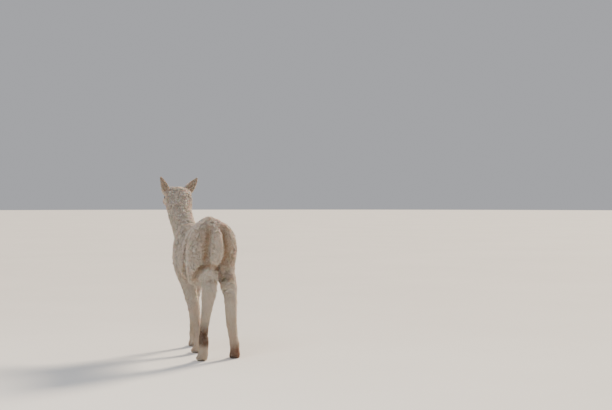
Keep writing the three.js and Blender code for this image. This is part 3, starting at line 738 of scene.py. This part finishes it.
skin_points, skin_normals = coords(skin.data), normals(skin.data)
skin_pairs, skin_faces = edge_pairs(skin.data), triangles(skin.data)
skin_node = nearest_node(skin_points)
on_ears = in_nodes(skin_node, EARS)
least_depth = LEAST_COAT * coat_depth(skin_points, skin_node)
skin_depth = np.maximum(distance_to(outline_tree, skin_points), least_depth)
skin_depth = relaxed(np.where(on_ears, EAR_COAT, skin_depth), skin_pairs, MARK_ROUNDS)
skin_fold = in_folds(skin_points) * ~on_ears
skin_face = face_share(skin_points, skin_node)
skin_lie = relaxed(lie_of(skin_points, skin_node), skin_pairs, LIE_ROUNDS)
skin_lie = unit(skin_lie - skin_normals * (skin_lie * skin_normals).sum(1)[:, None])
skin_marks = markings(skin_points, skin_node)
for name, values in skin_marks.items():
    skin_marks[name] = relaxed(values, skin_pairs, MARK_ROUNDS if name != "bare" else 1)
    add_attribute(skin.data, name, skin_marks[name])


# ---- An unwrap of the skin: each region is unrolled round its own bent middle line

CHARTS = {
    "trunk": (0.0, 0.0, 0.5, 0.5),
    "neck": (0.5, 0.0, 0.75, 0.5),
    "head": (0.75, 0.0, 1.0, 0.5),
    "tail": (0.0, 0.5, 0.12, 1.0),
    "hind_left": (0.12, 0.5, 0.3, 1.0),
    "hind_right": (0.3, 0.5, 0.48, 1.0),
    "fore_left": (0.48, 0.5, 0.66, 1.0),
    "fore_right": (0.66, 0.5, 0.84, 1.0),
    "ear_left": (0.84, 0.5, 1.0, 0.75),
    "ear_right": (0.84, 0.75, 1.0, 1.0),
}
CHART_EDGE = 0.006
CHART_SAMPLE = 4000
LINE_BINS = 24


def chart_of(node):
    if node in CHARTS:
        return node
    if node == "lower_jaw":
        return "head"
    side = node.split("_")[-1]
    if node.startswith(("thigh", "shank")):
        return f"hind_{side}"
    if node.startswith("forearm"):
        return f"fore_{side}"
    return "_".join(node.split("_")[1:])


node_chart = np.array([list(CHARTS).index(chart_of(n)) for n in FLESH])


def unwrap(points, node_index):
    """Where points of the skin lie on its flat map: round a chart's middle line and along it."""
    out = np.zeros((len(points), 2))
    for i, (u0, v0, u1, v1) in enumerate(CHARTS.values()):
        base = skin_points[node_chart[skin_node] == i]
        here = node_chart[node_index] == i
        centre = base.mean(0)
        sample = base[:: max(len(base) // CHART_SAMPLE, 1)]
        axes = np.linalg.svd(sample - centre, full_matrices=False)[2]
        run = (base - centre) @ axes[0]
        edges = np.linspace(run.min(), run.max() + 1e-6, LINE_BINS + 1)
        bins = np.clip(np.digitize(run, edges) - 1, 0, LINE_BINS - 1)
        count = np.maximum(np.bincount(bins, minlength=LINE_BINS), 1)
        marks = (edges[1:] + edges[:-1]) / 2
        at = (points[here] - centre) @ axes[0]
        flat = []
        for axis in axes[1:]:
            line = np.bincount(bins, (base - centre) @ axis, LINE_BINS) / count
            flat.append((points[here] - centre) @ axis - np.interp(at, marks, line))
        turn = np.arctan2(flat[1], flat[0]) / (2 * math.pi) + 0.5
        rise = (at - edges[0]) / (edges[-1] - edges[0])
        out[here, 0] = u0 + CHART_EDGE + np.clip(turn, 0, 1) * (u1 - u0 - 2 * CHART_EDGE)
        out[here, 1] = v0 + CHART_EDGE + np.clip(rise, 0, 1) * (v1 - v0 - 2 * CHART_EDGE)
    return out


# ---- Coat

TUFTS = 156_000
PIECE_LIMIT = 21_000  # tufts, of nine triangles each
ABOVE_FLOOR = 0.3 * MM
SHORTEST = 3.2 * MM
LONG_COAT = 11 * MM  # where the wool is as loose as it gets
LUMP_SIZE = 30 * MM  # of the uneven surface of the wool
LUMP = 0.15
FACE_DENSER = 1.4
FACE_FINER = 0.5  # how much lower, narrower and shorter the tufts are on the face
FOLD_SHORTER = 0.4
LONGER = (0.98, 0.24)  # a tuft's length: its least, and how much chance adds

# How far chance turns the tufts, for a whole lock and for one tuft
TUFTS_PER_LOCK = 14
SWING = (0.32, 0.25)  # sideways, in radians
RISE = (0.1, 0.16)  # off the skin, as a share of the lift
BEND = (0.1, 0.07)  # of the middle, as a share of the length
LIFT_RANGE = (0.15, 1.35)
GATHER = 0.5  # of the tips of a lock towards one another
GATHER_REACH = 14 * MM

# A tuft is a three-sided spike: a ring at its root, one at its waist, and the tip.
ROOT_SINK = 1.2 * MM
WAIST = 1.1  # its width half way, against its root
FLATNESS = 0.6
RING = [(math.cos(a), math.sin(a)) for a in (0.0, 2 * math.pi / 3, 4 * math.pi / 3)]
TUFT_POINTS = 7
TUFT_QUADS = [[0, 1, 4, 3], [1, 2, 5, 4], [2, 0, 3, 5]]
TUFT_TIPS = [[3, 4, 6], [4, 5, 6], [5, 3, 6]]
TUFT_ALONG = [0, 0, 0, 0.6, 0.6, 0.6, 1]
TUFT_PATCH = np.array([[-1, -1], [1, -1], [0, -1], [-1, 0.1], [1, 0.1], [0, 0.1], [0, 1]])
PATCH_SIZE = 0.0015  # half the width of a tuft's patch on the flat map

rng = np.random.default_rng(SEED)


def scatter(count):
    """Roots of tufts, spread evenly over the skin by the density of each part."""
    a, b, c = (skin_points[skin_faces[:, k]] for k in range(3))
    area = np.linalg.norm(np.cross(b - a, c - a), axis=1)
    density = part_values(skin_node, DENSITY) * (1 + FACE_DENSER * skin_face)
    density = density[skin_faces].mean(1) * (1 - skin_marks["bare"][skin_faces].max(1)) ** 2
    chance = area * density
    share = np.cumsum(chance) / chance.sum()
    pick = np.searchsorted(share, (np.arange(count) + rng.random(count)) / count)
    pick = np.minimum(pick, len(skin_faces) - 1)
    r, s = rng.random((2, count))
    r = np.sqrt(r)
    weights = np.stack([1 - r, r * (1 - s), r * s], 1)
    return skin_faces[pick], weights


def lumps(points):
    return np.array([noise.noise(p) for p in (points / LUMP_SIZE).tolist()])


def at_roots(values, corners, weights):
    """The skin's values at points given by the corners of their faces and their weights."""
    picked = values[corners]
    if picked.ndim == 2:
        return (picked * weights).sum(1)
    return (picked * weights[:, :, None]).sum(1)


def chance(spread, lock, locks, size=()):
    """Random numbers for the tufts: one that a lock shares, and one that is a tuft's own."""
    by_lock = rng.normal(0, spread[0], (locks, *size))[lock]
    return by_lock, rng.normal(0, spread[1], (len(lock), *size))


def grow_coat():
    """The tufts of the whole coat, each in a lock with its neighbours."""
    count = int(TUFTS * (1))
    corners, weights = scatter(count)
    root = at_roots(skin_points, corners, weights)
    out = unit(at_roots(skin_normals, corners, weights))
    lie = unit(at_roots(skin_lie, corners, weights))
    depth = at_roots(skin_depth, corners, weights)
    node = skin_node[corners[:, 0]]
    face = at_roots(skin_face, corners, weights)
    finer = 1 - FACE_FINER * face
    lift = np.radians(part_values(node, LIFT)) * finer
    wide = part_values(node, WIDTH) * MM * finer
    side = np.cross(out, lie)
    loose = smoothstep(SHORTEST, LONG_COAT, depth)

    locks = rng.permutation(count)[: count // TUFTS_PER_LOCK]
    tree = KDTree(len(locks))
    for i, p in enumerate(root[locks].tolist()):
        tree.insert(p, i)
    tree.balance()
    lock = np.array([tree.find(p)[1] for p in root.tolist()])
    by_lock, by_tuft = chance(SWING, lock, len(locks))
    swing = by_lock * loose + by_tuft
    fall = lie * np.cos(swing)[:, None] + side * np.sin(swing)[:, None]
    by_lock, by_tuft = chance(RISE, lock, len(locks))
    stand = np.clip(lift * (1 + by_lock + by_tuft), *LIFT_RANGE)

    depth = depth * (1 + LUMP * lumps(root) * (1 - face))
    long = np.maximum(depth, SHORTEST * finer) / np.sin(np.clip(stand, 0.45, 1.3))
    long = long * (LONGER[0] + LONGER[1] * rng.random(count))
    long = long * (1 - FOLD_SHORTER * at_roots(skin_fold, corners, weights))
    reach = long * np.sin(stand)
    run = long * np.cos(stand)
    tip = root + out * reach[:, None] + fall * run[:, None]
    from_lock = np.linalg.norm(root - root[locks][lock], axis=1)
    gather = GATHER * np.exp(-from_lock / GATHER_REACH) * (1 - face)
    tip = tip + (tip[locks][lock] - tip) * gather[:, None]
    bow = root + out * (reach * 0.66)[:, None] + (tip - root - out * reach[:, None]) * 0.4
    by_lock, by_tuft = chance(BEND, lock, len(locks), (3,))
    bow = bow + (by_lock + by_tuft) * (long * (0.3 + 0.7 * loose))[:, None]
    return build_pieces(root - out * ROOT_SINK, bow, tip, out, wide, node, corners, weights)


def tuft_points(root, bow, tip, out, wide):
    rings = []
    for start, end, width in ((root, bow, wide), (bow, tip, wide * WAIST)):
        along = unit(end - start)
        across = unit(np.cross(along, out))
        over = np.cross(across, along)
        for c, s in RING:
            rings.append(start + (across * c + over * s * FLATNESS) * (width / 2)[:, None])
    return np.stack([*rings, tip], 1)


def build_pieces(root, bow, tip, out, wide, node, corners, weights):
    """The tufts in pieces, chart by chart and each from front to back."""
    points = tuft_points(root, bow, tip, out, wide)
    points[:, :, 2] = np.maximum(points[:, :, 2], ABOVE_FLOOR)
    uv = unwrap(root, node)
    marks = {name: at_roots(values, corners, weights) for name, values in skin_marks.items()}
    shade = rng.random(len(root))
    order = np.lexsort((root[:, 1], node_chart[node]))
    pieces = []
    for start in range(0, len(order), PIECE_LIMIT):
        take = order[start : start + PIECE_LIMIT]
        pieces.append(coat_piece(len(pieces) + 1, points[take], uv[take], marks, shade, take))
    return pieces


def coat_piece(number, points, uv, marks, shade, take):
    count = len(points)
    mesh = bpy.data.meshes.new(f"coat_{number}")
    mesh.vertices.add(count * TUFT_POINTS)
    mesh.vertices.foreach_set("co", points.astype(np.float32).ravel())
    pattern = np.array([v for face in TUFT_QUADS + TUFT_TIPS for v in face])
    sizes = np.array([4] * len(TUFT_QUADS) + [3] * len(TUFT_TIPS))
    loops = (np.arange(count)[:, None] * TUFT_POINTS + pattern).ravel()
    mesh.loops.add(len(loops))
    mesh.loops.foreach_set("vertex_index", loops.astype(np.int32))
    totals = np.tile(sizes, count)
    mesh.polygons.add(len(totals))
    starts = np.concatenate([[0], np.cumsum(totals)[:-1]])
    mesh.polygons.foreach_set("loop_start", starts.astype(np.int32))
    mesh.update(calc_edges=True)
    shade_smooth(mesh)
    corner_uv = (uv[:, None, :] + (TUFT_PATCH * PATCH_SIZE)[None]).reshape(-1, 2)[loops]
    layer = mesh.uv_layers.new(name="OFBake")
    layer.data.foreach_set("uv", corner_uv.astype(np.float32).ravel())
    for name, values in marks.items():
        add_attribute(mesh, name, np.repeat(values[take], TUFT_POINTS))
    add_attribute(mesh, "shade", np.repeat(shade[take], TUFT_POINTS))
    add_attribute(mesh, "along", np.tile(TUFT_ALONG, count))
    return new_object(f"coat_{number}", mesh)


coat = grow_coat()


# ---- Eyes and toenails

EYEBALL_SEGMENTS = 48
CORNEA_BULGE = 0.035
CORNEA_FROM = 0.72  # of the eyeball's radius
NAILS = sorted(n for n in NODES if n.startswith("toenail"))


def make_eye(name, hand):
    """An eyeball with a slightly raised cornea. Its own +X looks out of the head."""
    bm = bmesh.new()
    radius, rings = EYE_RADIUS * MM, EYEBALL_SEGMENTS // 2
    bmesh.ops.create_uvsphere(bm, u_segments=EYEBALL_SEGMENTS, v_segments=rings, radius=radius)
    for v in bm.verts:
        on_cornea = max(0.0, (v.co.x / radius - CORNEA_FROM) / (1 - CORNEA_FROM))
        v.co *= 1 + CORNEA_BULGE * on_cornea**0.6
    out, ahead, up = (head_axes @ axis for axis in eye_axes(hand))
    turn = Matrix(np.stack([out, ahead, up], 1).tolist())
    if turn.determinant() < 0:
        turn = Matrix(np.stack([out, -ahead, up], 1).tolist())
    mesh = bpy.data.meshes.new(name)
    bm.to_mesh(mesh)
    bm.free()
    shade_smooth(mesh)
    obj = new_object(name, mesh)
    where = from_head(eye_middle(hand)[None] * MM)[0]
    obj.matrix_world = Matrix.Translation(Vector(where)) @ turn.to_4x4()
    return obj


def make_nail(node):
    obj = new_object(node.replace("toenail", "nail"), closed_copy([node]))
    subdivided(obj, ROUNDING)
    shade_smooth(obj.data)
    return obj


# ---- Materials

FLEECE = (0.87, 0.74, 0.63, 1)
# warm brown: for random patches, the warmer wool low down, and painted shade in the folds
FLEECE_WARM_TONE_AND_SHADE = (0.50, 0.31, 0.19, 1)
STAIN_DARK = (0.075, 0.030, 0.012, 1)
STAIN_RED = (0.16, 0.055, 0.025, 1)
# the ears' tan: partly their own tint, partly painted shade
EAR_TAN = (0.38, 0.235, 0.15, 1)
BARE_SKIN = (0.10, 0.075, 0.065, 1)
SKIN_PINK = (0.60, 0.46, 0.36, 1)
EYE_BROWN = (0.035, 0.014, 0.006, 1)
EYE_BLACK = (0.003, 0.0025, 0.002, 1)
EYE_WHITE = (0.14, 0.09, 0.07, 1)
HORN = (0.085, 0.06, 0.042, 1)
HORN_PALE = (0.26, 0.20, 0.14, 1)
FLOOR_TONES = ((0.78, 0.765, 0.74, 1), (0.82, 0.805, 0.78, 1))
IRIS_FROM = (0.60, 0.66)  # along the eyeball's axis, in radii
PUPIL_LONG = 0.42
PUPIL_TALL = 0.22


class Shader:
    """A material with one Principled shader, and short ways to add nodes to it."""

    def __init__(self, name):
        self.material = bpy.data.materials.new(name)
        self.material.use_nodes = True
        self.tree = self.material.node_tree
        self.shader = self.tree.nodes["Principled BSDF"]

    def node(self, kind, **inputs):
        made = self.tree.nodes.new(kind)
        for name, value in inputs.items():
            self.feed(made.inputs[name.replace("_", " ")], value)
        return made

    def feed(self, socket, value):
        if isinstance(value, bpy.types.NodeSocket):
            self.tree.links.new(value, socket)
        else:
            socket.default_value = value

    def place(self):
        return self.tree.nodes.new("ShaderNodeTexCoord").outputs["Object"]

    def mark(self, name):
        made = self.tree.nodes.new("ShaderNodeAttribute")
        made.attribute_name = name
        return made.outputs["Fac"]

    def noise(self, scale, detail=3.0, rough=0.55):
        made = self.node("ShaderNodeTexNoise", Vector=self.place(), Scale=scale, Detail=detail)
        made.inputs["Roughness"].default_value = rough
        return made.outputs["Fac"]

    def mix(self, share, a, b, mode="MIX"):
        made = self.tree.nodes.new("ShaderNodeMix")
        made.data_type = "RGBA"
        made.blend_type = mode
        for name, value in (("Factor_Float", share), ("A_Color", a), ("B_Color", b)):
            socket = next(s for s in made.inputs if s.identifier == name)
            self.feed(socket, value)
        return next(s for s in made.outputs if s.identifier == "Result_Color")

    def ranged(self, value, low, high, to_low=0.0, to_high=1.0):
        made = self.node("ShaderNodeMapRange")
        for name, v in (("From Min", low), ("From Max", high), ("To Min", to_low)):
            made.inputs[name].default_value = v
        made.inputs["To Max"].default_value = to_high
        self.feed(made.inputs["Value"], value)
        return made.outputs["Result"]

    def grey(self, value):
        made = self.tree.nodes.new("ShaderNodeCombineColor")
        for socket in made.inputs[:3]:
            self.feed(socket, value)
        return made.outputs["Color"]

    def maths(self, operation, a, b):
        made = self.tree.nodes.new("ShaderNodeMath")
        made.operation = operation
        made.use_clamp = operation == "ADD"
        self.feed(made.inputs[0], a)
        self.feed(made.inputs[1], b)
        return made.outputs[0]

    def times(self, a, b):
        return self.maths("MULTIPLY", a, b)

    def bump(self, height, strength, distance):
        made = self.node("ShaderNodeBump", Height=height, Strength=strength)
        made.inputs["Distance"].default_value = distance
        self.feed(self.shader.inputs["Normal"], made.outputs["Normal"])

    def set(self, **values):
        """Feeds the Principled shader's inputs, each by its name with _ for a space."""
        for name, value in values.items():
            self.feed(self.shader.inputs[name.replace("_", " ")], value)
        return self.material


def coat_colour(s):
    """The coat's markings and its painted warm shade: the same on the skin and on every tuft."""
    patches = s.ranged(s.noise(7.0), 0.42, 0.66)
    colour = s.mix(s.times(patches, 0.14), FLEECE, FLEECE_WARM_TONE_AND_SHADE)
    # painted warm shade in the folds and the warmer wool low down, a little uneven
    shade_and_warmth = s.times(s.mark("shade_and_warmth"), s.ranged(s.noise(26.0), 0.3, 0.7, 0.7, 1.1))
    colour = s.mix(shade_and_warmth, colour, FLEECE_WARM_TONE_AND_SHADE)
    # the ears' tan middle: partly their own tint, partly painted shade
    colour = s.mix(s.times(s.mark("ear"), 0.85), colour, EAR_TAN)
    ragged = s.ranged(s.noise(38.0), 0.3, 0.6, 0.75, 1.0)
    colour = s.mix(s.times(s.mark("dark"), ragged), colour, STAIN_DARK)
    return s.mix(s.times(s.mark("red"), ragged), colour, STAIN_RED)


def coat_material():
    """Soft, bright wool. A tuft has painted shade towards its root, and a random tone of its own.
    """
    s = Shader("fleece")
    colour = coat_colour(s)
    colour = s.mix(s.times(s.mark("bare"), 0.7), colour, BARE_SKIN)
    # painted shade: each tuft darker towards its root, then times its random tone
    light = s.ranged(s.mark("along"), 0.0, 1.0, 0.86, 1.0)
    light = s.times(light, s.ranged(s.mark("shade"), 0.0, 1.0, 0.92, 1.03))
    colour = s.mix(1.0, colour, s.grey(light), "MULTIPLY")
    s.set(Subsurface_Weight=0.3, Subsurface_Scale=0.012, Specular_IOR_Level=0.2)
    s.set(Sheen_Weight=0.45, Sheen_Roughness=0.5, Sheen_Tint=(1, 0.95, 0.88, 1))
    return s.set(Base_Color=colour, Roughness=0.85)


def skin_material():
    """What shows between the tufts: the wool's colours, darkened as painted shade, and bare dark
    skin.
    """
    s = Shader("skin")
    colour = s.mix(0.12, coat_colour(s), SKIN_PINK)
    # painted shade between the tufts, deeper on the ears
    shaded = s.ranged(s.mark("ear"), 0.0, 1.0, 0.86, 0.68)
    colour = s.mix(1.0, colour, s.grey(shaded), "MULTIPLY")
    colour = s.mix(s.mark("bare"), colour, BARE_SKIN)
    s.bump(s.noise(900.0, 4.0, 0.7), 0.5, 0.0012)
    return s.set(Base_Color=colour, Roughness=0.78, Specular_IOR_Level=0.25)


def eye_material():
    """Dark iris and a wide flat pupil, in the eyeball's own axes, under a wet cornea."""
    s = Shader("eye")
    split = s.node("ShaderNodeSeparateXYZ", Vector=s.place())
    x, y, z = (split.outputs[k] for k in "XYZ")
    radius = EYE_RADIUS * MM
    outward = s.ranged(x, IRIS_FROM[0] * radius, IRIS_FROM[1] * radius)
    long = s.maths("POWER", s.times(y, 1 / PUPIL_LONG / radius), 2.0)
    tall = s.maths("POWER", s.times(z, 1 / PUPIL_TALL / radius), 2.0)
    inside = s.ranged(s.maths("ADD", long, tall), 0.9, 0.6)
    streaks = s.ranged(s.noise(1400.0, 2.0), 0.3, 0.7, 0.5, 1.0)
    iris = s.mix(streaks, EYE_BLACK, EYE_BROWN)
    colour = s.mix(outward, EYE_WHITE, iris)
    colour = s.mix(s.times(inside, outward), colour, EYE_BLACK)
    s.bump(s.noise(260.0, 2.0), 0.04, 0.0004)
    return s.set(Base_Color=colour, Roughness=0.12, Coat_Weight=1.0, Coat_Roughness=0.03)


def horn_material():
    """Dark horn, streaked along the toe."""
    s = Shader("horn")
    stretched = s.node("ShaderNodeMapping", Vector=s.place())
    stretched.inputs["Scale"].default_value = (1.0, 0.12, 1.0)
    grain = s.node("ShaderNodeTexNoise", Vector=stretched.outputs[0], Scale=420.0, Detail=3.0)
    streaks = s.ranged(grain.outputs["Fac"], 0.35, 0.65)
    s.bump(grain.outputs["Fac"], 0.35, 0.0006)
    return s.set(Base_Color=s.mix(streaks, HORN, HORN_PALE), Roughness=0.48)


def floor_material():
    s = Shader("floor")
    tone = s.ranged(s.noise(0.6), 0.3, 0.7)
    return s.set(Base_Color=s.mix(tone, *FLOOR_TONES), Roughness=0.9)


def finish_piece(obj, material, slot, *nodes):
    obj.data.materials.clear()
    obj.data.materials.append(material)
    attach(obj, "root")
    if nodes:
        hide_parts(*nodes)


finish_piece(skin, skin_material(), "fleece", *FLESH)
fleece = coat_material()
for piece in coat:
    finish_piece(piece, fleece, "fleece")
wet = eye_material()
for name, hand in SIDES.items():
    finish_piece(make_eye(f"eyeball_{name}", hand), wet, "eye", f"eye_{name}")
horn = horn_material()
for node in NAILS:
    finish_piece(make_nail(node), horn, "toenail", node)


# ---- Floor, light and camera

IMAGE = (612, 410)
FOCAL_PIXELS = 1272
SENSOR = 36.0
CAMERA_AWAY = 8.0
CAMERA_HEIGHT = 1.057
CAMERA_AZIMUTH = math.radians(14)
CAMERA_SEES = 200
HIPS_COLUMN = 211.8
HORIZON_ROW = 190
FLOOR_RADIUS = 60.0
FLOOR_SEGMENTS = 96

SUN_FROM = (-0.70, -0.55, 0.46)  # beyond the animal and to its right, low
SUN_STRENGTH = 8.0
SUN_SOFTNESS = math.radians(14)
SUN_COLOUR = (1.0, 0.84, 0.64)
FILL_AT = Vector((2.6, 3.4, 4.6))  # behind the animal, to its left and above
FILL_TOWARDS = Vector((0, 0, 0.6))
FILL_SIZE = 3.0
FILL_POWER = 130
FILL_COLOUR = (0.94, 0.96, 1.0)
WORLD_COLOUR = (0.88, 0.89, 0.94, 1)
WORLD_STRENGTH = 0.5


def add_camera():
    """Behind and a little to the animal's left, framed so that it stands left of the middle."""
    back = Vector((math.sin(CAMERA_AZIMUTH), math.cos(CAMERA_AZIMUTH), 0))
    at = Vector((HIPS_AT.x, HIPS_AT.y, 0)) + back * CAMERA_AWAY + Vector((0, 0, CAMERA_HEIGHT))
    pan = math.atan2(IMAGE[0] / 2 - HIPS_COLUMN, FOCAL_PIXELS)
    tilt = math.atan2(IMAGE[1] / 2 - HORIZON_ROW, FOCAL_PIXELS)
    ahead = Matrix.Rotation(-pan, 3, "Z") @ -back
    ahead = ahead * math.cos(tilt) - Vector((0, 0, math.sin(tilt)))
    data = bpy.data.cameras.new("camera")
    data.sensor_width = SENSOR
    data.lens = SENSOR * FOCAL_PIXELS / IMAGE[0]
    data.clip_end = CAMERA_SEES
    camera = new_object("camera", data)
    camera.location = at
    camera.rotation_euler = ahead.to_track_quat("-Z", "Y").to_euler()
    bpy.context.scene.camera = camera


def add_fill():
    """A broad cool light on the side that the camera sees."""
    data = bpy.data.lights.new("fill", "AREA")
    data.shape = "DISK"
    data.size = FILL_SIZE
    data.energy = FILL_POWER
    data.color = FILL_COLOUR
    light = new_object("fill", data)
    light.location = FILL_AT
    light.rotation_euler = (FILL_TOWARDS - FILL_AT).to_track_quat("-Z", "Y").to_euler()


def add_sun():
    """The key light: broad, warm and low, so that it edges the coat."""
    data = bpy.data.lights.new("key", "SUN")
    data.energy = SUN_STRENGTH
    data.angle = SUN_SOFTNESS
    data.color = SUN_COLOUR
    new_object("key", data).rotation_euler = Vector(SUN_FROM).to_track_quat("Z", "Y").to_euler()


def add_floor():
    bm = bmesh.new()
    bmesh.ops.create_circle(bm, cap_ends=True, segments=FLOOR_SEGMENTS, radius=FLOOR_RADIUS)
    mesh = bpy.data.meshes.new("floor")
    bm.to_mesh(mesh)
    bm.free()
    floor = new_object("floor", mesh)
    floor.data.materials.append(floor_material())


def add_world():
    world = bpy.data.worlds.new("studio")
    world.use_nodes = True
    background = world.node_tree.nodes["Background"]
    background.inputs["Color"].default_value = WORLD_COLOUR
    background.inputs["Strength"].default_value = WORLD_STRENGTH
    bpy.context.scene.world = world


add_floor()
add_world()
add_sun()
add_fill()
add_camera()
